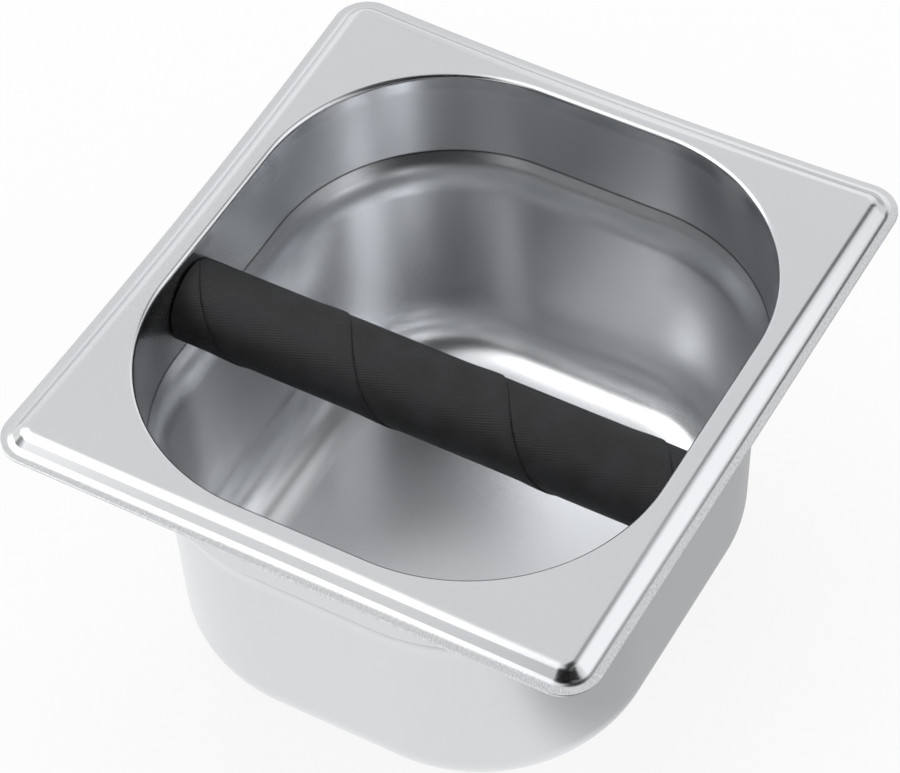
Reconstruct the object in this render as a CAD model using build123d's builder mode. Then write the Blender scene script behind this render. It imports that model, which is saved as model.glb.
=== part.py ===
from build123d import *
import os
from math import atan2, cos, degrees, radians, sqrt, tan

# Espresso knock box: a deep drawn steel pan with a stepped flange, and a rubber covered
# knock bar that two screws hold between its side walls. All lengths are in millimetres.
# The origin is the middle of the underside, X runs along the bar and Z points up.

# Pan, drawn from one sheet of stainless steel
pan_width = 162.0  # along the bar
pan_length = 176.0  # across the bar
pan_height = 99.0  # underside to the flange's top face
sheet = 0.7

# Flange, from its cut edge inwards: a flat lip, a slope up, then the flat top
lip_width = 2.6
lip_drop = 3.2  # the lip's top face lies this far below the flange's
slope_run = 3.9
top_corner = 2.8  # plan radius of the flat top's corners
lip_bend = 1.6  # inside radius where the lip turns up into the slope
slope_bend = 2.6  # outside radius where the slope turns into the flat top
edge_break_share = 0.25  # of the sheet, to deburr the cut edge

# Well, measured on its inner faces
flange_width = 12.2  # cut edge to the well's wall, on all four sides
well_corner = 50.8
mouth_roll = 2.3  # outside radius where the flange rolls down into the well
band_depth = 27.6  # flange's top face to the ledge
ledge_width = 4.2
crease_share = 0.2  # of the ledge, the sharp bend where the band meets it
ledge_bend_share = 0.68  # of the ledge, the soft bend down into the wall
wall_taper = 1.6  # degrees, below the ledge
floor_bend = 15.8

# Knock bar
bar_offset = 15.1  # from the middle of the pan towards its front
ledge_gap = 0.45  # the sleeve clears the ledges at its ends by this much
sleeve_diameter = 22.3
sleeve_end_gap = 0.3
sleeve_chamfer = 0.5
tube_diameter = 16.0
tube_wall = 1.5
tube_chamfer_share = 0.2  # of the tube's wall
running_clearance = 0.05  # on the radius, so that the sleeve turns on the tube
fixed_clearance = 0.02  # on the radius, where a plug is seated in the tube
plug_length = 14.0
plug_chamfer = 0.4
seal_thickness = 1.5

# Fasteners at each end of the bar
thread_diameter = 6.0
thread_clearance = 0.05  # on the radius
screw_length = 16.0
screw_tip_share = 0.1  # of the thread's diameter
head_diameter = 10.5
head_height = 3.3
head_round_share = 0.78  # of the head's height
socket_width = 4.0  # across the flats of the hexagon
socket_depth = 2.0
hole_clearance = 0.2  # on the radius, round the screw in washers and wall
washer_diameter = 12.0
washer_thickness = 1.6
washer_chamfer_share = 0.2  # of the washer's thickness
lock_washer_diameter = 11.4
lock_washer_thickness = 1.6
lock_washer_split = 0.8
lock_washer_slant = 25.0  # degrees

overrun = 5.0  # every cut runs this far past what it cuts

# Places worked out from the sizes
lip_level = pan_height - lip_drop
ledge_level = pan_height - band_depth
outline_corner = lip_width + slope_run + top_corner
slope_angle = degrees(atan2(lip_drop, slope_run))
half_width = pan_width / 2 - flange_width
half_length = pan_length / 2 - flange_width
low_half_width = half_width - ledge_width
low_half_length = half_length - ledge_width
low_corner = well_corner - ledge_width
crease_bend = ledge_width * crease_share
ledge_bend = ledge_width * ledge_bend_share
bar_y = -bar_offset
bar_z = ledge_level + ledge_gap + sleeve_diameter / 2
bore_radius = tube_diameter / 2 - tube_wall
hole_radius = thread_diameter / 2 + hole_clearance
outer_face = half_width + sheet
lock_face = outer_face + washer_thickness
head_face = lock_face + lock_washer_thickness


def wall_reach(y):
    """Half the width of the well at this distance from its middle, between the side walls."""
    into_corner = max(y - (half_length - well_corner), 0)
    return half_width - well_corner + sqrt(well_corner**2 - into_corner**2)


def level_face(air, index):
    """One of the level faces, counted up from the lowest."""
    return air.faces().filter_by(Plane.XY).sort_by(Axis.Z)[index]


def air_above(depth, margin):
    """The space over the sheet, down to a skin this far under its top face.

    The margin widens it past the cut edge, so that one such space cuts another cleanly.
    """
    slope_shift = depth * tan(radians(slope_angle / 2))
    boss_inset = lip_width + slope_shift
    taper_shift = depth / cos(radians(wall_taper)) - depth * tan(radians(wall_taper))
    with BuildPart() as air:
        # The lip, and the slope up to the flat top
        with BuildSketch(Plane.XY.offset(lip_level - depth)):
            RectangleRounded(pan_width + 2 * margin, pan_length + 2 * margin, outline_corner + margin)
        extrude(amount=lip_drop + depth + overrun + margin)
        with BuildSketch(Plane.XY.offset(lip_level - depth)):
            RectangleRounded(
                pan_width - 2 * boss_inset, pan_length - 2 * boss_inset, outline_corner - boss_inset
            )
        extrude(amount=lip_drop, taper=90 - slope_angle, mode=Mode.SUBTRACT)
        fillet(level_face(air, 0).inner_wires()[0].edges(), lip_bend + depth)
        fillet(level_face(air, 1).outer_wire().edges(), slope_bend - depth)
        # The upright band below the mouth
        with BuildSketch(Plane.XY.offset(ledge_level - depth)):
            RectangleRounded(2 * (half_width + depth), 2 * (half_length + depth), well_corner + depth)
        extrude(amount=band_depth)
        fillet(level_face(air, 2).inner_wires()[0].edges(), mouth_roll - depth)
        # The tapered wall below the ledge, down to the floor
        with BuildSketch(Plane(origin=(0, 0, ledge_level - depth), z_dir=(0, 0, -1))):
            RectangleRounded(
                2 * (low_half_width + taper_shift),
                2 * (low_half_length + taper_shift),
                low_corner + taper_shift,
            )
        extrude(amount=ledge_level - sheet, taper=wall_taper)
        fillet(level_face(air, 1).outer_wire().edges(), crease_bend + depth)
        fillet(level_face(air, 1).inner_wires()[0].edges(), ledge_bend - depth)
        fillet(level_face(air, 0).outer_wire().edges(), floor_bend + depth)
    return air.part


def bar_plane(x, side):
    """The plane square to the bar's axis at this place, facing out through that side wall."""
    return Plane(origin=(side * x, bar_y, bar_z), x_dir=(0, side, 0), z_dir=(side, 0, 0))


def finish(piece, label):
    """Name a finished piece and write its file."""
    piece.label = label
    export_step(piece, f"parts/{label}.step")


# The bar fits between the side walls, which start to curve at the front of the sleeve
tube_half = wall_reach(bar_offset + tube_diameter / 2) - seal_thickness
sleeve_half = wall_reach(bar_offset + sleeve_diameter / 2) - sleeve_end_gap

os.makedirs("parts", exist_ok=True)

# Drawn pan, one sheet with two screw holes
space_over_top = air_above(0, overrun)
with BuildPart() as pan:
    add(air_above(sheet, 0))
    add(space_over_top, mode=Mode.SUBTRACT)
    lip_faces = pan.faces().filter_by(Plane.XY).group_by(Axis.Z)[-4:-2]
    cut_edges = [faces[0].outer_wire().edges() for faces in lip_faces]
    fillet(cut_edges, sheet * edge_break_share)
    with BuildSketch(bar_plane(0, 1)):
        Circle(hole_radius)
    extrude(amount=outer_face + overrun, both=True, mode=Mode.SUBTRACT)
finish(pan.part, "pan")

# Steel tube that carries the blows
with BuildPart() as bar_tube:
    with BuildSketch(bar_plane(0, 1)):
        Circle(tube_diameter / 2)
        Circle(bore_radius, mode=Mode.SUBTRACT)
    extrude(amount=tube_half, both=True)
    tube_ends = bar_tube.faces().filter_by(Plane.YZ)
    chamfer([face.outer_wire().edges() for face in tube_ends], tube_wall * tube_chamfer_share)
finish(bar_tube.part, "bar_tube")

# Rubber sleeve, a thick hose that turns on the tube
with BuildPart() as rubber_sleeve:
    with BuildSketch(bar_plane(0, 1)):
        Circle(sleeve_diameter / 2)
        Circle(tube_diameter / 2 + running_clearance, mode=Mode.SUBTRACT)
    extrude(amount=sleeve_half, both=True)
    sleeve_ends = rubber_sleeve.faces().filter_by(Plane.YZ)
    chamfer([face.outer_wire().edges() for face in sleeve_ends], sleeve_chamfer)
finish(rubber_sleeve.part, "rubber_sleeve")

# Threaded plug, made lying on its inner end
with BuildPart() as plug:
    with BuildSketch():
        Circle(bore_radius - fixed_clearance)
        Circle(thread_diameter / 2 + thread_clearance, mode=Mode.SUBTRACT)
    extrude(amount=plug_length)
    plug_ends = plug.faces().filter_by(Plane.XY)
    chamfer([face.inner_wires()[0].edges() for face in plug_ends], plug_chamfer)

# Rubber washer that seals a screw hole from the inside
with BuildPart() as seal:
    with BuildSketch():
        Circle(tube_diameter / 2)
        Circle(hole_radius, mode=Mode.SUBTRACT)
    extrude(amount=seal_thickness)

for side_name, side in (("left", -1), ("right", 1)):
    # The plug ends flush with the tube
    with BuildPart() as end_plug:
        with Locations(bar_plane(tube_half - plug_length, side)):
            add(plug.part)
    finish(end_plug.part, f"{side_name}_end_plug")
    # The seal fills the space between the tube's end and the wall
    with BuildPart() as sealing_washer:
        with Locations(bar_plane(tube_half, side)):
            add(seal.part)
    finish(sealing_washer.part, f"{side_name}_sealing_washer")

# Flat washer, its outer edge broken on the side that shows
with BuildPart() as flat_washer:
    with BuildSketch():
        Circle(washer_diameter / 2)
        Circle(hole_radius, mode=Mode.SUBTRACT)
    extrude(amount=washer_thickness)
    washer_top = flat_washer.faces().sort_by(Axis.Z)[-1]
    chamfer(washer_top.outer_wire().edges(), washer_thickness * washer_chamfer_share)

# Split lock washer, closed up flat by the screw
with BuildPart() as lock_washer:
    with BuildSketch():
        Circle(lock_washer_diameter / 2)
        Circle(hole_radius, mode=Mode.SUBTRACT)
    extrude(amount=lock_washer_thickness)
    with BuildSketch(Plane.YZ):
        with Locations((0, lock_washer_thickness / 2)):
            Rectangle(lock_washer_split, lock_washer_thickness + 2 * overrun, rotation=lock_washer_slant)
    extrude(amount=lock_washer_diameter, mode=Mode.SUBTRACT)

# Button head screw, made head up with its seat at zero
with BuildPart() as screw:
    with BuildSketch():
        Circle(head_diameter / 2)
    extrude(amount=head_height)
    fillet(screw.faces().sort_by(Axis.Z)[-1].edges(), head_height * head_round_share)
    with BuildSketch(Plane.XY.offset(head_height)):
        RegularPolygon(socket_width / 2, 6, major_radius=False)
    extrude(amount=-socket_depth, mode=Mode.SUBTRACT)
    with BuildSketch():
        Circle(thread_diameter / 2)
    extrude(amount=-screw_length)
    chamfer(screw.faces().sort_by(Axis.Z)[0].edges(), thread_diameter * screw_tip_share)

for label, fastener, seat in (
    ("flat_washers", flat_washer, outer_face),
    ("lock_washers", lock_washer, lock_face),
    ("bar_screws", screw, head_face),
):
    # One of each on the outside of both walls
    with BuildPart() as pair:
        with Locations(bar_plane(seat, -1), bar_plane(seat, 1)):
            add(fastener.part)
    finish(pair.part, label)
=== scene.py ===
# %% [markdown]
# ## An espresso knock box
# A knock box takes the spent coffee that is struck out of an espresso handle. This one is a
# deep pan, pressed from a single sheet of stainless steel, with a rubber covered bar across
# its mouth. The engineering model gives every piece its size and place. This file gives the
# pieces that show their real shape and finish, and it sets up a small photo studio.

# %% Load the engineering model
import math

import bmesh
import bpy
from mathutils import Matrix, Vector


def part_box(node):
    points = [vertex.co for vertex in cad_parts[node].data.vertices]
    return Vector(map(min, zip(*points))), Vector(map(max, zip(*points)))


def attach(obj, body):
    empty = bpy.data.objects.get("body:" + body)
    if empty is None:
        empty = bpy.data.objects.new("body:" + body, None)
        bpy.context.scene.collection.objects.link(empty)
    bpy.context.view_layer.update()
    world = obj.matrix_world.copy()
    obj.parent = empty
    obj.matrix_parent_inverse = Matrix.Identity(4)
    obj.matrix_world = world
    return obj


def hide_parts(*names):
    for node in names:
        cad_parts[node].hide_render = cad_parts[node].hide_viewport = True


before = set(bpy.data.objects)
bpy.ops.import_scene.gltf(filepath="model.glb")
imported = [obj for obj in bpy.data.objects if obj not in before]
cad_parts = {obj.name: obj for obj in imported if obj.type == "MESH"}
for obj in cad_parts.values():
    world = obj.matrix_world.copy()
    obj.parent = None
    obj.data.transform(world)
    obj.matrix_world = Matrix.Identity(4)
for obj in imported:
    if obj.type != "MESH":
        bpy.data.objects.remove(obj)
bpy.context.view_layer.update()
mm = 0.001

# %% [markdown]
# ## Camera
# A long lens from far off, raised by about 50 degrees and a third of the way round to the
# right, so that the front and right walls show under the flange and the bar crosses the mouth
# from the upper left to the lower right. A camera looks along its own -Z, so its matrix is
# made from three directions: its right, its up and its back.

# %% Aim the camera
view_azimuth = math.radians(31.6)
view_elevation = math.radians(49.94)
view_roll = math.radians(3.08)
view_distance = 891.2 * mm
aim = Vector((4.0, -12.09, 85.38)) * mm
frame_pixels = 900
focal_pixels = 3630.5
sensor_width = 36.0
far_clip = 20.0

back = Vector(
    (
        math.sin(view_azimuth) * math.cos(view_elevation),
        -math.cos(view_azimuth) * math.cos(view_elevation),
        math.sin(view_elevation),
    )
)
level_right = Vector((0, 0, 1)).cross(back).normalized()
level_up = back.cross(level_right)
right = level_right * math.cos(view_roll) - level_up * math.sin(view_roll)
up = level_up * math.cos(view_roll) + level_right * math.sin(view_roll)
bpy.ops.object.camera_add()
camera = bpy.context.object
camera.name = "camera"
camera.data.sensor_width = sensor_width
camera.data.lens = focal_pixels * sensor_width / frame_pixels
camera.data.clip_end = far_clip
camera.matrix_world = Matrix.Translation(aim + back * view_distance) @ Matrix(
    (right, up, back)
).transposed().to_4x4()
bpy.context.scene.camera = camera
bpy.context.scene.view_settings.view_transform = "Standard"
print("camera at", [round(v, 4) for v in camera.matrix_world.translation])

# %% [markdown]
# ## Studio
# Steel shows what stands around it, so the studio matters as much as the metal. It has a floor,
# a white room, one large soft lamp overhead and a ring of cards. The Light Path node lets
# camera and mirror rays see a whiter floor and room than the ones that light the pan, so plain
# light stays at an everyday level.

# %% Helpers for shader nodes
def add_node(tree, kind, options=None, inputs=None):
    """Add a node with these options. Each input is a value, or an output to link from."""
    node = tree.nodes.new(kind)
    for name, value in (options or {}).items():
        setattr(node, name, value)
    for name, value in (inputs or {}).items():
        if isinstance(value, bpy.types.NodeSocket):
            tree.links.new(value, node.inputs[name])
        else:
            node.inputs[name].default_value = value
    return node


def calculate(tree, operation, *values):
    """The result of a Math node."""
    inputs = dict(enumerate(values))
    return add_node(tree, "ShaderNodeMath", {"operation": operation}, inputs).outputs[0]


def remap(tree, value, low, high, to_low=0.0, to_high=1.0, curve="LINEAR"):
    """A value between low and high, stretched to another range."""
    inputs = {"Value": value, "From Min": low, "From Max": high}
    inputs.update({"To Min": to_low, "To Max": to_high})
    options = {"interpolation_type": curve}
    return add_node(tree, "ShaderNodeMapRange", options, inputs).outputs["Result"]


def mix_shaders(tree, share, first, second):
    """Two shaders as one, all of the first at a share of 0 and all of the second at 1."""
    inputs = {0: share, 1: first.outputs[0], 2: second.outputs[0]}
    return add_node(tree, "ShaderNodeMixShader", inputs=inputs)


def mix_colours(tree, share, first, second):
    """Two colours as one, each a value or an output to link from."""
    inputs = {"Factor": share, 6: first, 7: second}
    return add_node(tree, "ShaderNodeMix", {"data_type": "RGBA"}, inputs).outputs[2]


def split_axes(tree, vector):
    """The three parts of a vector."""
    return add_node(tree, "ShaderNodeSeparateXYZ", inputs={"Vector": vector}).outputs


# %% [markdown]
# ### Floor
# The floor is a sheet of white paper. The camera sees most of it as plain white and a small
# share of it as lit paper, which keeps the pan's soft shadow. The outer walls mirror it too, and
# in the photograph they are bright in front and grey on the right. So mirror rays don't meet the
# white floor, but a light whose strength turns from one level to another, both set.

# %% Build the floor
floor_size = 8.0
floor_gap = 0.05 * mm
floor_white = (0.93, 0.93, 0.93, 1)
paper_share = 0.85  # how much of the floor the camera sees as plain white
mirrored_levels = 1.13, 0.6  # what the steel mirrors of it, in front and to the right
mirrored_turn = 42 * mm, 66 * mm  # how far to the right it turns from one into the other
mirrored_slant = 0.3  # how much of the way to the back is added to the way to the right
bpy.ops.object.select_all(action="DESELECT")
bpy.ops.mesh.primitive_plane_add(size=floor_size, location=(0, 0, -floor_gap))
floor = bpy.context.object
floor.name = "studio_floor"
floor_paint = bpy.data.materials.new("studio_floor")
floor_paint.use_nodes = True
tree = floor_paint.node_tree
floor_shader = tree.nodes["Principled BSDF"]
floor_shader.inputs["Base Color"].default_value = floor_white
floor_shader.inputs["Roughness"].default_value = 1.0
floor_shader.inputs["Specular IOR Level"].default_value = 0.0
rays = add_node(tree, "ShaderNodeLightPath").outputs
looking = calculate(tree, "MAXIMUM", rays["Is Camera Ray"], rays["Is Transmission Ray"])
camera_share = calculate(tree, "MULTIPLY", looking, paper_share)
paper = add_node(tree, "ShaderNodeEmission", inputs={"Strength": 1.0})
lit_floor = mix_shaders(tree, camera_share, floor_shader, paper)
place = split_axes(tree, add_node(tree, "ShaderNodeTexCoord").outputs["Object"])
rightwards = calculate(tree, "MULTIPLY_ADD", place["Y"], mirrored_slant, place["X"])
level = remap(tree, rightwards, *mirrored_turn, *mirrored_levels, curve="SMOOTHSTEP")
mirrored = add_node(tree, "ShaderNodeEmission", inputs={"Strength": level})
either_floor = mix_shaders(tree, rays["Is Glossy Ray"], lit_floor, mirrored)
tree.links.new(either_floor.outputs[0], tree.nodes["Material Output"].inputs["Surface"])
floor_paint.cycles.emission_sampling = "NONE"
floor.data.materials.append(floor_paint)
print("floor:", floor_size, "m wide, mirrored at", mirrored_levels)

# %% Fill the room with white
room_level = 0.8
world = bpy.data.worlds.new("studio")
bpy.context.scene.world = world
world.use_nodes = True
room = world.node_tree
plain_room = room.nodes["Background"]
plain_room.inputs["Color"].default_value = (1, 1, 1, 1)
plain_room.inputs["Strength"].default_value = room_level
seen_white = {"Color": (1, 1, 1, 1), "Strength": 1.0}
seen_room = add_node(room, "ShaderNodeBackground", inputs=seen_white)
rays = add_node(room, "ShaderNodeLightPath").outputs
seen = calculate(room, "MAXIMUM", rays["Is Camera Ray"], rays["Is Glossy Ray"])
seen = calculate(room, "MAXIMUM", seen, rays["Is Transmission Ray"])
either_room = mix_shaders(room, seen, plain_room, seen_room)
room.links.new(either_room.outputs[0], room.nodes["World Output"].inputs["Surface"])
print("room: lights at", room_level, "and is seen at", seen_white["Strength"])


# %% Hang the lamp
def hang_lamp(name, place, size, watts):
    """A square soft lamp at this place, turned towards the pan. It doesn't show in the steel."""
    bpy.ops.object.light_add(type="AREA", location=place)
    lamp = bpy.context.object
    lamp.name = name
    lamp.data.shape = "SQUARE"
    lamp.data.size = size
    lamp.data.energy = watts
    lamp.rotation_euler = (Vector(place) - aim).to_track_quat("Z", "Y").to_euler()
    lamp.visible_glossy = False
    print(name, "hangs", round((Vector(place) - aim).length, 2), "m away")


hang_lamp("overhead_lamp", place=(-0.5, 0.4, 1.9), size=1.4, watts=9)

# %% [markdown]
# ### Cards for the steel to mirror
# Steel is lit by what it mirrors. A photographer stands bright and black cards half a metre
# round the pan, each with a soft edge, and moves them until every bend has its light line and
# its dark line. A nearer card hides what is behind it, so a small dark card in front of a large
# bright one draws a dark streak. Here only mirrored rays see the cards: they put no light on
# the floor, and the camera looks through them.


# %% Stand the cards round the pan
def stand_card(name, azimuth, elevation, distance, width, height, strength, soft_share):
    """A card that faces the pan from this azimuth and elevation. Azimuth 0 is the front."""
    turn, rise = math.radians(azimuth), math.radians(elevation)
    towards = Vector(
        (math.sin(turn) * math.cos(rise), -math.cos(turn) * math.cos(rise), math.sin(rise))
    )
    bpy.ops.object.select_all(action="DESELECT")
    bpy.ops.mesh.primitive_plane_add(size=1, location=card_centre + towards * distance)
    card = bpy.context.object
    card.name = name
    card.scale = (width, height, 1)
    card.rotation_euler = towards.to_track_quat("Z", "Y").to_euler()
    card.visible_camera = False
    card.visible_diffuse = False
    card.visible_transmission = False
    card.visible_volume_scatter = False
    card.visible_shadow = False
    paint = bpy.data.materials.new(name)
    paint.use_nodes = True
    tree = paint.node_tree
    tree.nodes.clear()
    place = split_axes(tree, add_node(tree, "ShaderNodeTexCoord").outputs["Object"])
    inside = 1.0
    edge = 0.5
    for axis in "XY":
        from_middle = calculate(tree, "ABSOLUTE", place[axis])
        fade = remap(tree, from_middle, edge, edge * (1 - soft_share), curve="SMOOTHSTEP")
        inside = calculate(tree, "MULTIPLY", inside, fade)
    clear = add_node(tree, "ShaderNodeBsdfTransparent")
    light = add_node(tree, "ShaderNodeEmission", inputs={"Strength": strength})
    soft_card = mix_shaders(tree, inside, clear, light)
    add_node(tree, "ShaderNodeOutputMaterial", inputs={"Surface": soft_card.outputs[0]})
    paint.cycles.emission_sampling = "NONE"
    card.data.materials.append(paint)


card_centre = Vector((0, 0, 50)) * mm
# Name, azimuth, elevation, distance, width, height, strength and the share of it that is soft
cards = (
    ("key_card", 297, 46, 0.50, 0.55, 0.33, 5.4, 0.75),
    ("key_wing", 312, 64, 0.52, 0.52, 0.34, 2.3, 1.0),
    ("key_low_card", 280, 27, 0.51, 0.24, 0.30, 3.3, 0.8),
    ("key_edge_card", 340, 49, 0.51, 0.22, 0.22, 2.2, 0.9),
    ("right_card", 115, 28, 0.50, 0.42, 0.50, 1.5, 0.6),
    ("back_card", 183, 22, 0.52, 0.44, 0.46, 1.3, 0.6),
    ("back_left_card", 236, 14, 0.50, 0.46, 0.30, 1.3, 1.0),
    ("near_grey_card", 57, 44, 0.48, 0.14, 0.10, 0.25, 0.8),
    ("near_dark_card", 72, 67, 0.49, 0.36, 0.26, 0.0, 0.6),
    ("black_front_card", 38, 36, 0.54, 0.90, 0.68, 0.0, 0.4),
    ("black_left_card", 318, 8, 0.55, 0.66, 0.40, 0.1, 0.4),
    ("dark_flag", 150, 42, 0.49, 0.12, 0.40, 0.1, 0.6),
    ("dark_top_card", 100, 62, 0.53, 0.54, 0.18, 0.4, 0.5),
)
for card in cards:
    stand_card(*card)
print("cards:", len(cards))

# %% [markdown]
# ## Modelling by hand, in code
# Each helper below does what a modeller does in edit mode: open the piece, select edges or
# faces by their place, and run one operator. Everything is deselected first, because an
# operator acts on all that is selected.


# %% Helpers for edit mode
def add_piece(name, add_primitive, **options):
    """Add a primitive at the origin as a new piece, and open it in edit mode."""
    bpy.ops.object.select_all(action="DESELECT")
    add_primitive(location=(0, 0, 0), **options)
    piece = bpy.context.object
    piece.name = name
    bpy.ops.object.mode_set(mode="EDIT")
    return piece


def close_piece(piece, smooth_below):
    """Leave edit mode, and shade the bends smooth up to this angle."""
    bpy.ops.object.mode_set(mode="OBJECT")
    bpy.ops.object.select_all(action="DESELECT")
    piece.select_set(True)
    bpy.context.view_layer.objects.active = piece
    bpy.ops.object.shade_smooth_by_angle(angle=math.radians(smooth_below))
    return piece


def select_where(piece, part, test):
    """Select the verts, edges or faces of a piece that pass a test, and nothing else."""
    bpy.ops.mesh.select_mode(type={"verts": "VERT", "edges": "EDGE", "faces": "FACE"}[part])
    bpy.ops.mesh.select_all(action="DESELECT")
    mesh = bmesh.from_edit_mesh(piece.data)
    found = [item for item in getattr(mesh, part) if test(item)]
    for item in found:
        item.select_set(True)
    bmesh.update_edit_mesh(piece.data)
    return len(found)


def apply_modifier(piece, kind, **settings):
    """Add a modifier with these settings and apply it."""
    bpy.context.view_layer.objects.active = piece
    modifier = piece.modifiers.new(kind.lower(), kind)
    for name, value in settings.items():
        setattr(modifier, name, value)
    bpy.ops.object.modifier_apply(modifier=modifier.name)


# %% [markdown]
# ## The pan
# A press draws the pan out of a flat sheet in a few strokes: the well first, then the shoulder
# that stacked pans rest on, then the stepped flange. Its outline is a set of rounded
# rectangles, one inside the other, so it is modelled the same way. A plane gets rounded
# corners, and repeated insets with a rise or a drop leave one ring of edges at each bend.

# %% Sizes of the pan
pan_low, pan_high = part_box("pan")
rim_level = pan_high.z
outline_width = (pan_high.x - pan_low.x) / 2
outline_length = (pan_high.y - pan_low.y) / 2
outline_corner = 9.3 * mm
sheet = 0.7 * mm
lip_width = 2.6 * mm
lip_drop = 3.2 * mm
slope_run = 3.6 * mm
flange_width = 12.0 * mm
well_corner = 51.0 * mm
band_draft = 0.5 * mm
band_depth = 27.6 * mm
shoulder_run = 4.0 * mm
shoulder_slope = math.radians(59)
wall_taper = math.radians(1.6)
corner_steps = 32  # edges round a corner
side_length = 20 * mm  # straight edges longer than this are divided
side_cuts = 15
near = 0.03 * mm  # two places this near each other count as one

well_width = outline_width - flange_width
well_length = outline_length - flange_width
shoulder_drop = shoulder_run * math.tan(shoulder_slope)
crease_level = rim_level - band_depth
shoulder_level = crease_level - shoulder_drop
wall_height = shoulder_level - sheet
wall_run = wall_height * math.tan(wall_taper)
print("well in mm:", round(2 * well_width / mm, 1), "by", round(2 * well_length / mm, 1))


# %% Rounded plates and their rings
def add_rounded_plate(half_width, half_length, corner, level):
    """In edit mode, add a flat face with rounded corners at this level."""
    bpy.ops.mesh.primitive_plane_add(size=2, location=(0, 0, level))
    bpy.ops.transform.resize(value=(half_width, half_length, 1), center_override=(0, 0, level))
    bpy.ops.mesh.bevel(
        affect="VERTICES", offset=corner, segments=corner_steps, profile=0.5, clamp_overlap=False
    )


def past_outline(point, half_width, half_length, corner):
    """How far a point lies outside a rounded rectangle, or inside where negative."""
    past_side = abs(point.x) - (half_width - corner)
    past_end = abs(point.y) - (half_length - corner)
    into_corner = math.hypot(max(past_side, 0), max(past_end, 0))
    return into_corner + min(max(past_side, past_end), 0) - corner


def on_ring(edge, half_width, half_length, corner, level):
    """Whether an edge lies on a rounded rectangle at this level."""
    return all(
        abs(vert.co.z - level) < near
        and abs(past_outline(vert.co, half_width, half_length, corner)) < near
        for vert in edge.verts
    )


def step_in(run, rise=0.0):
    """Inset the selected face by a run, and lift it by a rise."""
    bpy.ops.mesh.inset(thickness=run, depth=rise, use_boundary=True, use_even_offset=True)


# %% [markdown]
# ### Bends
# Sheet steel never turns a sharp corner: it follows the round edge of the tool. Each ring is
# bevelled by the length that its bend takes up on both sides, which is the radius times the
# tangent of half the turn. The crease and the rim turn on small radii, the shoulder and the
# floor on large ones.


# %% A helper that rounds one ring of edges
def round_bend(name, ring, radius, turn, steps):
    """Bevel the ring of edges on this outline, to a bend of this radius."""
    found = select_where(pan, "edges", lambda edge: on_ring(edge, *ring))
    bpy.ops.mesh.bevel(
        affect="EDGES",
        offset_type="OFFSET",
        offset=radius * math.tan(turn / 2),
        segments=steps,
        profile=0.5,
        clamp_overlap=False,
    )
    print(name, "bend:", found, "edges, radius", round(radius / mm, 2), "mm")


def outline_at(inset, level):
    """The flange's outline, this far in from its cut edge."""
    return outline_width - inset, outline_length - inset, outline_corner - inset, level


def well_at(inset, level):
    """The well's outline, this far in from the mouth."""
    return well_width - inset, well_length - inset, well_corner - inset, level


def split_sides(piece):
    """Divide the long straight sides of every ring, so that they can bow."""

    def is_side(edge):
        run = edge.verts[1].co - edge.verts[0].co
        straight = min(abs(run.x), abs(run.y)) < near and abs(run.z) < near
        return straight and run.length > side_length

    select_where(piece, "edges", is_side)
    bpy.ops.mesh.subdivide(number_cuts=side_cuts)


# %% Press the flange
# From the cut edge inwards: a flat lip, a slope up to the rim, and a narrow flat ring
rim_ring = 1.8 * mm
lip_bend = 3.0 * mm
slope_bend = 4.2 * mm
slope_turn = math.atan2(lip_drop, slope_run)
pan = add_piece("pan_pressed", bpy.ops.mesh.primitive_plane_add, size=2)
bpy.ops.mesh.delete(type="VERT")
add_rounded_plate(outline_width, outline_length, outline_corner, rim_level - lip_drop)
select_where(pan, "faces", lambda face: True)
step_in(lip_width)
step_in(slope_run, lip_drop)
step_in(rim_ring)
bpy.ops.mesh.delete(type="ONLY_FACE")
lip_ring = outline_at(lip_width, rim_level - lip_drop)
slope_ring = outline_at(lip_width + slope_run, rim_level)
round_bend("lip", lip_ring, lip_bend, slope_turn, steps=10)
round_bend("slope", slope_ring, slope_bend, slope_turn, steps=10)
split_sides(pan)

# %% [markdown]
# ### Bowed sides
# While a deep well is drawn, the sheet slides in faster at the middle of the sides than at the
# corners, so the flange's sides bow in a little. The middle of a side is pushed in with
# proportional editing, whose inverse square falloff is a parabola.


# %% Bow the back and left sides
def bow_side(across, side, bow):
    """Push the middle of one side of the flange in, and let the push fade to its ends."""
    half_side = (outline_width if across == 1 else outline_length) - outline_corner
    push = [0, 0, 0]
    push[across] = -side * bow

    def at_middle(vert):
        return abs(vert.co[1 - across]) < near and vert.co[across] * side > 0

    select_where(pan, "verts", at_middle)
    bpy.ops.transform.translate(
        value=push,
        use_proportional_edit=True,
        proportional_edit_falloff="INVERSE_SQUARE",
        proportional_size=half_side,
        use_proportional_connected=False,
    )
    print("XY"[across], "side bowed by", round(bow / mm, 1), "mm")


bow_side(across=1, side=1, bow=1.6 * mm)
bow_side(across=0, side=-1, bow=1.4 * mm)

# %% Press the well
# A ring round the mouth, the band, the shoulder, the tapered wall and the floor
mouth_ring = 1.8 * mm
mouth_bend = 1.7 * mm
crease_bend = 0.4 * mm
shoulder_bend = 19.5 * mm
floor_bend = 15.8 * mm
upright_turn = math.radians(90)
band_turn = upright_turn - math.atan2(band_draft, band_depth)
crease_turn = band_turn - shoulder_slope
wall_turn = upright_turn - wall_taper
shoulder_turn = wall_turn - shoulder_slope
shoulder_inset = band_draft + shoulder_run
select_where(pan, "faces", lambda face: True)
bpy.ops.mesh.hide()
add_rounded_plate(*well_at(-mouth_ring, rim_level))
select_where(pan, "faces", lambda face: not face.hide)
step_in(mouth_ring)
step_in(band_draft, -band_depth)
step_in(shoulder_run, -shoulder_drop)
step_in(wall_run, -wall_height)
shoulder_ring = well_at(shoulder_inset, shoulder_level)
floor_ring = well_at(shoulder_inset + wall_run, sheet)
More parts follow.
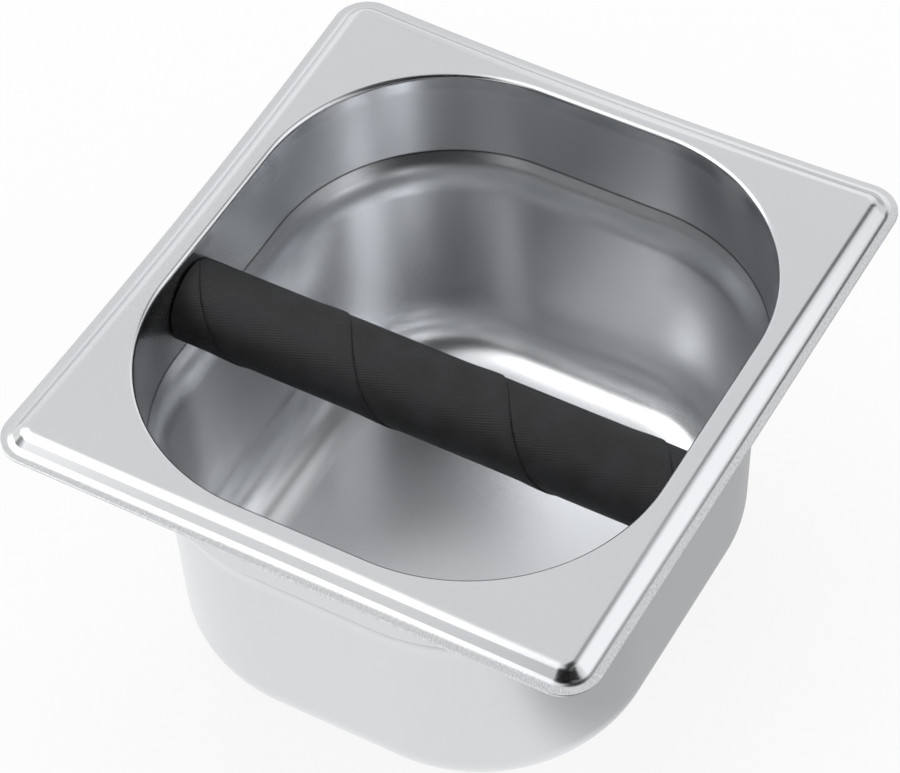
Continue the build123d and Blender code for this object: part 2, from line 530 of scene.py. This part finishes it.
round_bend("mouth", well_at(0, rim_level), mouth_bend, band_turn, steps=12)
round_bend("crease", well_at(band_draft, crease_level), crease_bend, crease_turn, steps=6)
round_bend("shoulder", shoulder_ring, shoulder_bend, shoulder_turn, steps=16)
round_bend("floor", floor_ring, floor_bend, wall_turn, steps=24)
split_sides(pan)
bpy.ops.mesh.reveal(select=False)

# %% Join the well to the flange
found = select_where(
    pan,
    "edges",
    lambda edge: edge.is_boundary and all(vert.co.z > rim_level - near for vert in edge.verts),
)
bpy.ops.mesh.bridge_edge_loops()
print("edges bridged:", found)

# %% [markdown]
# ### Sheet thickness
# So far the pan is only the face that shows from above. Solidify gives it the sheet's
# thickness underneath, and a fine bevel breaks the cut edge, as a deburring wheel does.

# %% Give the sheet its thickness
edge_break = 0.16 * mm
level_enough = 0.5  # a face points up or down where its normal's Z is past this
bpy.ops.mesh.select_all(action="SELECT")
bpy.ops.mesh.normals_make_consistent(inside=False)
bpy.ops.object.mode_set(mode="OBJECT")
up_faces = sum(face.normal.z > level_enough for face in pan.data.polygons)
down_faces = sum(face.normal.z < -level_enough for face in pan.data.polygons)
if down_faces > up_faces:
    pan.data.flip_normals()
apply_modifier(pan, "SOLIDIFY", thickness=sheet, offset=-1)
apply_modifier(
    pan, "BEVEL", width=edge_break, segments=3, limit_method="ANGLE", angle_limit=math.radians(60)
)
print("faces that looked up:", up_faces, "down:", down_faces, "with thickness:",
      len(pan.data.polygons))

# %% Drill the two screw holes
bar_low, bar_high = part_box("bar_tube")
bar_y = (bar_low.y + bar_high.y) / 2
bar_z = (bar_low.z + bar_high.z) / 2
hole_radius = 3.2 * mm
hole_steps = 48
bpy.ops.object.select_all(action="DESELECT")
bpy.ops.mesh.primitive_cylinder_add(
    vertices=hole_steps,
    radius=hole_radius,
    depth=2 * outline_width,
    location=(0, bar_y, bar_z),
    rotation=(0, math.radians(90), 0),
)
drill = bpy.context.object
apply_modifier(pan, "BOOLEAN", operation="DIFFERENCE", object=drill, solver="EXACT")
bpy.data.objects.remove(drill)
close_piece(pan, smooth_below=40)
apply_modifier(pan, "WEIGHTED_NORMAL", mode="FACE_AREA", weight=60, keep_sharp=True)
print("pan faces:", len(pan.data.polygons))

# %% [markdown]
# ## Steel
# Cold rolled stainless steel leaves the mill with a dull, faintly mottled skin. Working it adds
# fine lines: the press drags them down the walls, a lathe turns them round a plug. Every metal
# piece here has both, so they are one node group. Each material gives it two sets of
# coordinates, one for the mottle and one stretched along its lines, and puts its tone into
# colour and roughness and its height into a bump. The bump is a few thousandths of a millimetre
# on the turned pieces and far less on the pan, whose broad walls would show any more of it.


# %% A group for the steel's skin
def new_group(name, inputs, outputs):
    """An empty shader group with these sockets, each a name with its kind."""
    group = bpy.data.node_groups.new(name, "ShaderNodeTree")
    for direction, sockets in (("INPUT", inputs), ("OUTPUT", outputs)):
        for socket, kind in sockets.items():
            group.interface.new_socket(socket, in_out=direction, socket_type="NodeSocket" + kind)
    return group, add_node(group, "NodeGroupInput").outputs


def noise(tree, vector, scale, detail=3.0):
    """Soft noise with this many grains to the metre."""
    inputs = {"Vector": vector, "Scale": scale, "Detail": detail, "Roughness": 0.55}
    return add_node(tree, "ShaderNodeTexNoise", inputs=inputs).outputs["Fac"]


def mix_values(tree, share, first, second):
    """Two values as one, all of the first at a share of 0 and all of the second at 1."""
    inputs = {"Factor": share, "A": first, "B": second}
    return add_node(tree, "ShaderNodeMix", {"data_type": "FLOAT"}, inputs).outputs["Result"]


def add_bump(tree, shader, height, depth):
    """Sink the surface by this depth where the height is 0. Returns the bumped normals."""
    inputs = {"Height": height, "Distance": depth}
    normal = add_node(tree, "ShaderNodeBump", inputs=inputs).outputs["Normal"]
    tree.links.new(normal, shader.inputs["Normal"])
    return normal


patch_scale = 45.0
patch_share = 0.3
tone_range = 0.3, 0.7
steel_skin, given = new_group(
    "steel_skin",
    {"Mottle Coordinates": "Vector", "Line Coordinates": "Vector", "Mottle Scale": "Float",
     "Line Scale": "Float", "Line Share": "Float"},
    {"Tone": "Float", "Height": "Float"},
)
mottle = noise(steel_skin, given["Mottle Coordinates"], given["Mottle Scale"])
patches = noise(steel_skin, given["Mottle Coordinates"], patch_scale, detail=2.0)
lines = noise(steel_skin, given["Line Coordinates"], given["Line Scale"], detail=5.0)
fine = mix_values(steel_skin, given["Line Share"], mottle, lines)
tone = mix_values(steel_skin, patch_share, fine, patches)
add_node(
    steel_skin,
    "NodeGroupOutput",
    inputs={"Tone": remap(steel_skin, tone, *tone_range), "Height": fine},
)
print("steel skin nodes:", len(steel_skin.nodes))


# %% A helper that puts the skin on a metal
def new_material(name):
    """An empty material, with its tree, its shader and its object coordinates."""
    material = bpy.data.materials.new(name)
    material.use_nodes = True
    tree = material.node_tree
    place = add_node(tree, "ShaderNodeTexCoord").outputs["Object"]
    return material, tree, tree.nodes["Principled BSDF"], place


def stretch(tree, vector, scale):
    """Coordinates stretched by a Mapping node. A small scale gives long lines."""
    inputs = {"Vector": vector, "Scale": scale}
    return add_node(tree, "ShaderNodeMapping", inputs=inputs).outputs["Vector"]


def add_steel_skin(tree, shader, place, lines, colours, roughness, scales, line_share, depth):
    """Give a metal its mottle and lines. Returns its colour, its roughness and its normals."""
    shader.inputs["Metallic"].default_value = 1.0
    skin = add_node(
        tree,
        "ShaderNodeGroup",
        {"node_tree": steel_skin},
        {"Mottle Coordinates": place, "Line Coordinates": lines, "Mottle Scale": scales[0],
         "Line Scale": scales[1], "Line Share": line_share},
    ).outputs
    colour = mix_colours(tree, skin["Tone"], *colours)
    tree.links.new(colour, shader.inputs["Base Color"])
    rough = remap(tree, skin["Tone"], 0, 1, *roughness)
    tree.links.new(rough, shader.inputs["Roughness"])
    return colour, rough, add_bump(tree, shader, skin["Height"], depth)


# %% Drawn steel for the pan
pan_steel, tree, shader, place = new_material("pan_steel")
drag_lines = stretch(tree, place, (1, 1, 0.03))
colour, rough, normal = add_steel_skin(
    tree,
    shader,
    place,
    drag_lines,
    colours=((0.585, 0.594, 0.61, 1), (0.61, 0.618, 0.632, 1)),
    roughness=(0.255, 0.265),
    scales=(1100, 900),
    line_share=0.4,
    depth=0.00013 * mm,
)
print("drawn steel nodes:", len(tree.nodes))

# %% [markdown]
# ### Marks and painted light on the drawn steel
# Four things are added to the plain metal. The tight crease under the upright band gets a
# fine dark line of painted shade. The lip has a fine hatch, in front and to the right, which
# trimming may have left. The wall below the crease gets painted light, to be brighter than the
# rest. The well is a little hazy, and the flange is smoother. What left the hatch and the haze
# can't be seen, and all four are set to match the photograph.
# Each is a mask, 1 where the mark is and 0 elsewhere, that is worked out from the place of the
# surface and the way that it faces.

# %% Find the crease and the lip
crease_reach = 0.4 * mm
hatch_start = -0.6 * mm, 0.4 * mm  # past the lip's inner edge, from no hatch to all of it
hatch_top = 0.5 * mm, 0.1 * mm  # and above the lip's face
lip_level = rim_level - lip_drop
parts = split_axes(tree, place)
off_crease = calculate(tree, "ABSOLUTE", calculate(tree, "SUBTRACT", parts["Z"], crease_level))
crease = remap(tree, off_crease, crease_reach, 0.0, curve="SMOOTHSTEP")
flat = add_node(
    tree, "ShaderNodeVectorMath", {"operation": "MULTIPLY"}, {0: place, 1: (1, 1, 0)}
).outputs["Vector"]
facing = add_node(tree, "ShaderNodeTexCoord").outputs["Normal"]
outwards = add_node(
    tree, "ShaderNodeVectorMath", {"operation": "DOT_PRODUCT"}, {0: flat, 1: facing}
).outputs["Value"]
inside = calculate(tree, "LESS_THAN", outwards, 0.0)
# Painted shade for the crease, kept to the faces that look into the well
painted_crease_shade = calculate(tree, "MULTIPLY", crease, inside)
past_right = calculate(tree, "SUBTRACT", parts["X"], outline_width - lip_width)
past_front = calculate(tree, "SUBTRACT", lip_width - outline_length, parts["Y"])
past_inner_edge = calculate(tree, "MAXIMUM", past_right, past_front)
outside = remap(tree, past_inner_edge, *hatch_start)
low = remap(tree, parts["Z"], *(lip_level + height for height in hatch_top))
lip = calculate(tree, "MULTIPLY", outside, low)

# %% Paint shade into the crease and hatch the lip
# The dark colour painted into the crease as its shade
crease_shade_colour = (0.09, 0.09, 0.095, 1)
hatch_colours = (0.5, 0.506, 0.518, 1), (0.65, 0.66, 0.675, 1)
hatch_scale = 3600.0
hatch_stretch = 0.2  # its lines run aslant, and are five times as long as wide
hatch_range = 0.35, 0.65
across_hatch = calculate(tree, "ADD", parts["X"], parts["Y"])
along_hatch = calculate(tree, "SUBTRACT", parts["X"], parts["Y"])
shortened = calculate(tree, "MULTIPLY", along_hatch, hatch_stretch)
askew = add_node(tree, "ShaderNodeCombineXYZ", inputs={"X": across_hatch, "Y": shortened})
hatch = noise(tree, askew.outputs["Vector"], hatch_scale, detail=2.0)
hatch = remap(tree, hatch, *hatch_range)
# Lay the painted shade along the crease, then the hatch on the lip
colour = mix_colours(tree, painted_crease_shade, colour, crease_shade_colour)
colour = mix_colours(tree, lip, colour, mix_colours(tree, hatch, *hatch_colours))

# %% Brighten the wall with painted light
# Painted light: below the crease, the inner wall's colour is raised to look more brightly lit
painted_wall_light = 1.3  # how much brighter the wall is inside, below the crease
wall_fade = 4 * mm
wall_reach = 55 * mm  # how far outwards a wall has to stand, facing inwards, to be all bright
below = remap(tree, parts["Z"], crease_level, crease_level - wall_fade)
upright = remap(tree, outwards, 0.0, -wall_reach)
painted_light_mask = calculate(tree, "MULTIPLY", below, upright)
# How far the colour is raised by the painted light
painted_light_scale = remap(tree, painted_light_mask, 0.0, 1.0, 1.0, painted_wall_light)
colour = add_node(
    tree, "ShaderNodeVectorMath", {"operation": "SCALE"}, {0: colour, "Scale": painted_light_scale}
).outputs["Vector"]
tree.links.new(colour, shader.inputs["Base Color"])

# %% Add the haze, and smooth the flange
haze_roughness = 0.5
haze_shares = 0.12, 0.06  # in the well and on the flange
burnish = 1.0, 0.7  # the share of its roughness that is left, in the well and on the flange
burnish_levels = rim_level - 6 * mm, rim_level - 4 * mm
burnished = remap(tree, parts["Z"], *burnish_levels, *burnish, curve="SMOOTHSTEP")
tree.links.new(calculate(tree, "MULTIPLY", rough, burnished), shader.inputs["Roughness"])
haze = remap(tree, parts["Z"], *burnish_levels, *haze_shares, curve="SMOOTHSTEP")
satin = add_node(
    tree,
    "ShaderNodeBsdfPrincipled",
    inputs={
        "Base Color": colour, "Metallic": 1.0, "Roughness": haze_roughness, "Normal": normal
    },
)
hazy_steel = mix_shaders(tree, haze, shader, satin)
tree.links.new(hazy_steel.outputs[0], tree.nodes["Material Output"].inputs["Surface"])
print("with its marks:", len(tree.nodes))

# %% Dress the pan
pan.data.materials.clear()
pan.data.materials.append(pan_steel)
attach(pan, "box")
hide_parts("pan")
print("pan wears:", pan.data.materials[0].name)

# %% [markdown]
# ## The rubber sleeve
# The knock bar is covered with hose that is built up on a mandrel: a strip of rubbered cloth is
# wound on in a spiral, each turn laps over the one before, and the hose is cured under a cloth
# bandage that leaves its weave in the skin. So the shape is one profile, as long as one turn
# advances, that rises to a lap and drops over its edge. The Screw modifier winds it round the
# bar, the ends are cut square, and two clean circles give it its bore.

# %% Draw one turn of the wrap
sleeve_low, sleeve_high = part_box("rubber_sleeve")
bar_axis = Vector((0, bar_y, bar_z))
wrap_pitch = 44.0 * mm
wrap_start = -120.5 * mm  # where the lap's edge stands on the back of the bar, off its left end
wrap_turns = 5
wrap_steps = 96
bore_radius = 8.05 * mm
# Along the bar and out from its axis, in mm
wrap_profile = (
    (0.0, 10.92), (0.25, 10.97), (0.5, 11.04), (1.2, 11.06), (12.0, 11.06), (24.0, 11.05),
    (33.5, 11.06), (36.0, 11.10), (38.2, 11.22), (40.2, 11.33), (42.2, 11.39), (43.35, 11.40),
    (43.6, 11.37), (43.72, 11.28), (43.78, 10.98), (43.85, 10.9), (44.0, 10.92),
)
sleeve = add_piece("rubber_wrap", bpy.ops.mesh.primitive_plane_add, size=2 * mm)
bpy.ops.mesh.select_mode(type="VERT")
bpy.ops.mesh.merge(type="CENTER")
start_along, start_out = wrap_profile[0]
bpy.ops.transform.translate(value=(wrap_start + start_along * mm, start_out * mm, 0))
for (along, out), (next_along, next_out) in zip(wrap_profile, wrap_profile[1:]):
    step = ((next_along - along) * mm, (next_out - out) * mm, 0)
    bpy.ops.mesh.extrude_vertices_move(TRANSFORM_OT_translate={"value": step})
bpy.ops.object.mode_set(mode="OBJECT")
print("points in the profile:", len(sleeve.data.vertices))

# %% Wind it round the bar
one_place = 0.005 * mm  # points this near each other are merged
apply_modifier(
    sleeve,
    "SCREW",
    axis="X",
    screw_offset=wrap_pitch,
    iterations=wrap_turns,
    steps=wrap_steps,
    render_steps=wrap_steps,
    use_merge_vertices=True,
    merge_threshold=one_place,
)
print("faces wound:", len(sleeve.data.polygons))
bpy.ops.object.mode_set(mode="EDIT")
bpy.ops.mesh.select_all(action="SELECT")
bpy.ops.mesh.remove_doubles(threshold=one_place)
bpy.ops.transform.translate(value=bar_axis)

# %% Cut and close the ends
# Steps of the rounded end, each a way out along the bar and a shrink towards its axis
end_round = ((0.15 * mm, 0.995), (0.15 * mm, 0.985))
cut_near = 0.001 * mm


def select_end(plane_x):
    """Select the open edges of the sleeve that lie in this plane."""
    return select_where(
        sleeve,
        "edges",
        lambda edge: len(edge.link_faces) < 2
        and all(abs(vert.co.x - plane_x) < near for vert in edge.verts),
    )


for side, end in ((-1, sleeve_low.x), (1, sleeve_high.x)):
    cut = end - side * sum(out for out, shrink in end_round)
    bpy.ops.mesh.select_all(action="SELECT")
    bpy.ops.mesh.bisect(
        plane_co=(cut, 0, 0), plane_no=(side, 0, 0), clear_outer=True, threshold=cut_near
    )
    print("edges at the cut:", select_end(cut))
    for out, shrink in end_round:
        bpy.ops.mesh.extrude_edges_move(TRANSFORM_OT_translate={"value": (side * out, 0, 0)})
        bpy.ops.transform.resize(value=(1, shrink, shrink), center_override=bar_axis)
    bpy.ops.mesh.select_all(action="DESELECT")
    bpy.ops.mesh.primitive_circle_add(
        vertices=wrap_steps,
        radius=bore_radius,
        location=(end, bar_y, bar_z),
        rotation=(0, math.radians(90), 0),
    )
    print("edges bridged:", select_end(end))
    bpy.ops.mesh.bridge_edge_loops()
select_where(sleeve, "edges", lambda edge: edge.is_boundary)
bpy.ops.mesh.bridge_edge_loops()
bpy.ops.mesh.select_all(action="SELECT")
bpy.ops.mesh.normals_make_consistent(inside=False)
close_piece(sleeve, smooth_below=35)


def count_open_edges(piece):
    """Edges that don't join exactly two faces. A sound shell has none."""
    mesh = bmesh.new()
    mesh.from_mesh(piece.data)
    found = sum(len(edge.link_faces) != 2 for edge in mesh.edges)
    mesh.free()
    return found


print("open edges:", count_open_edges(sleeve))

# %% [markdown]
# ### Rubber with a cloth imprint
# The bandage is wound on at an angle while the rubber is soft, so its ribs stand askew to the
# bar. They are straight lines on the unrolled skin, where one coordinate runs along the bar and
# the other round it. Round the bar there has to be a whole number of ribs, or they would meet
# with a step. Each rib is broken up by the crossing threads, shifted by half from rib to rib.
# Old hose also has a soft bloom on its skin, which the seals share. The grooves between the ribs
# and the pits are painted darker than the rib tops, as painted shade.


# %% A group for the rubber's skin
rubber_skin, given = new_group(
    "rubber_skin",
    {"Coordinates": "Vector", "Bloom Scale": "Float", "Pit Scale": "Float"},
    {"Bloom": "Float", "Height": "Float"},
)
bloom_range = 0.35, 0.7
bloom = noise(rubber_skin, given["Coordinates"], given["Bloom Scale"], detail=5.0)
bloom = remap(rubber_skin, bloom, *bloom_range, curve="SMOOTHSTEP")
pits = noise(rubber_skin, given["Coordinates"], given["Pit Scale"], detail=4.0)
add_node(rubber_skin, "NodeGroupOutput", inputs={"Bloom": bloom, "Height": pits})
print("rubber skin nodes:", len(rubber_skin.nodes))


def add_rubber_skin(tree, place, bloom_scale, pit_scale):
    """The bloom and the pits of a rubber piece."""
    inputs = {"Coordinates": place, "Bloom Scale": bloom_scale, "Pit Scale": pit_scale}
    return add_node(tree, "ShaderNodeGroup", {"node_tree": rubber_skin}, inputs).outputs


# %% Unroll the skin and draw the ribs
skin_radius = 11.15 * mm
skin_round = 2 * math.pi * skin_radius
rib_slant = math.radians(18.5)
ribs_round = 100
threads_round = 44
rubber, tree, shader, place = new_material("sleeve_rubber")
parts = split_axes(tree, place)
along = parts["X"]
turn = calculate(
    tree,
    "ARCTAN2",
    calculate(tree, "SUBTRACT", parts["Z"], bar_z),
    calculate(tree, "SUBTRACT", parts["Y"], bar_y),
)
turns = calculate(tree, "DIVIDE", turn, 2 * math.pi)
rib_rise = ribs_round * math.tan(rib_slant) / skin_round
rib_number = calculate(
    tree,
    "ADD",
    calculate(tree, "MULTIPLY", turns, ribs_round),
    calculate(tree, "MULTIPLY", along, rib_rise),
)
thread_rise = threads_round / math.tan(rib_slant) / skin_round
thread_number = calculate(
    tree,
    "SUBTRACT",
    calculate(tree, "MULTIPLY", along, thread_rise),
    calculate(tree, "MULTIPLY", turns, threads_round),
)
rib_spacing = skin_round * math.cos(rib_slant) / ribs_round
print("rib spacing in mm:", round(rib_spacing / mm, 3))


# %% Weave the threads over and under
def ripple(tree, number):
    """One on every whole number, and zero half way between."""
    wave = calculate(tree, "COSINE", calculate(tree, "MULTIPLY", number, 2 * math.pi))
    return calculate(tree, "MULTIPLY_ADD", wave, 0.5, 0.5)


thread_share = 0.45  # how much of a rib's height its threads make
pit_height = 0.6  # beside a rib's height of 1
skin_depth = 0.09 * mm
nearest_rib = calculate(tree, "ROUND", rib_number)
staggered = calculate(tree, "MULTIPLY_ADD", nearest_rib, 0.5, thread_number)
threads = ripple(tree, staggered)
threads = calculate(tree, "MULTIPLY_ADD", threads, thread_share, 1 - thread_share)
cloth = calculate(tree, "MULTIPLY", ripple(tree, rib_number), threads)
skin = add_rubber_skin(tree, place, bloom_scale=110, pit_scale=1700)
height = calculate(tree, "MULTIPLY_ADD", skin["Height"], pit_height, cloth)
add_bump(tree, shader, height, skin_depth)
print("threads along one pitch of the wrap:", round(thread_rise * wrap_pitch, 1))

# %% Colour the rubber, and dress the sleeve
# Painted shade: the colour darkens with the depth of the grooves between the ribs and of the
# pits, on top of the real bloom
rib_shade = 0.6
pit_shade = 0.5
bloom_and_shade_range = 0.2, 1.7
black_rubber = (0.007, 0.007, 0.0075, 1)
bloomed_and_lit_rubber = (0.027, 0.0277, 0.0302, 1)
# The bloom, with the painted shade of the pits and of the grooves between the ribs
bloom_and_shade = calculate(tree, "MULTIPLY_ADD", skin["Height"], pit_shade, skin["Bloom"])
bloom_and_shade = calculate(tree, "ADD", calculate(tree, "MULTIPLY", cloth, rib_shade), bloom_and_shade)
colour = mix_colours(tree, remap(tree, bloom_and_shade, *bloom_and_shade_range), black_rubber, bloomed_and_lit_rubber)
tree.links.new(colour, shader.inputs["Base Color"])
tree.links.new(remap(tree, skin["Bloom"], 0, 1, 0.55, 0.7), shader.inputs["Roughness"])
shader.inputs["Specular IOR Level"].default_value = 0.3
sleeve.data.materials.clear()
sleeve.data.materials.append(rubber)
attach(sleeve, "sleeve")
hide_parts("rubber_sleeve")
print("sleeve wears:", sleeve.data.materials[0].name)

# %% [markdown]
# ## Inside the bar and behind the walls
# The engineering model already has the right shape for the tube, the plugs, the seals and the
# fasteners, so those pieces only need a finish. Turned and drawn pieces show lines round or
# along their axis, and zinc plated fasteners are brighter and a little blue.


# %% Finish the pieces of the engineering model
def paint_nodes(material, *names):
    """Put this material on these nodes of the engineering model."""
    for name in names:
        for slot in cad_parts[name].material_slots:
            slot.material = material
    print(material.name, "on", *names)


def plain_steel(name, line_stretch, **finish):
    """A steel material whose lines are stretched by this scale."""
    material, tree, shader, place = new_material(name)
    add_steel_skin(tree, shader, place, stretch(tree, place, line_stretch), **finish)
    return material


tube_steel = plain_steel(
    "tube_steel",
    line_stretch=(0.02, 1, 1),
    colours=((0.46, 0.462, 0.47, 1), (0.56, 0.562, 0.568, 1)),
    roughness=(0.26, 0.4),
    scales=(900, 1800),
    line_share=0.7,
    depth=0.004 * mm,
)
plug_steel = plain_steel(
    "plug_steel",
    line_stretch=(1, 0.05, 0.05),
    colours=((0.5, 0.49, 0.475, 1), (0.58, 0.57, 0.55, 1)),
    roughness=(0.24, 0.36),
    scales=(1200, 2600),
    line_share=0.75,
    depth=0.005 * mm,
)
fastener_steel = plain_steel(
    "fastener_steel",
    line_stretch=(1, 0.2, 0.2),
    colours=((0.6, 0.61, 0.63, 1), (0.7, 0.71, 0.735, 1)),
    roughness=(0.2, 0.34),
    scales=(1500, 1500),
    line_share=0.35,
    depth=0.003 * mm,
)
paint_nodes(tube_steel, "bar_tube")
paint_nodes(plug_steel, "left_end_plug", "right_end_plug")
paint_nodes(fastener_steel, "flat_washers", "lock_washers", "bar_screws")

# %% Rubber for the seals
seal_rubber, tree, shader, place = new_material("seal_rubber")
skin = add_rubber_skin(tree, place, bloom_scale=240, pit_scale=4000)
add_bump(tree, shader, skin["Height"], 0.02 * mm)
seal_colours = (0.014, 0.014, 0.015, 1), (0.03, 0.03, 0.031, 1)
colour = mix_colours(tree, skin["Bloom"], *seal_colours)
tree.links.new(colour, shader.inputs["Base Color"])
tree.links.new(remap(tree, skin["Bloom"], 0, 1, 0.45, 0.62), shader.inputs["Roughness"])
shader.inputs["Specular IOR Level"].default_value = 0.35
paint_nodes(seal_rubber, "left_sealing_washer", "right_sealing_washer")
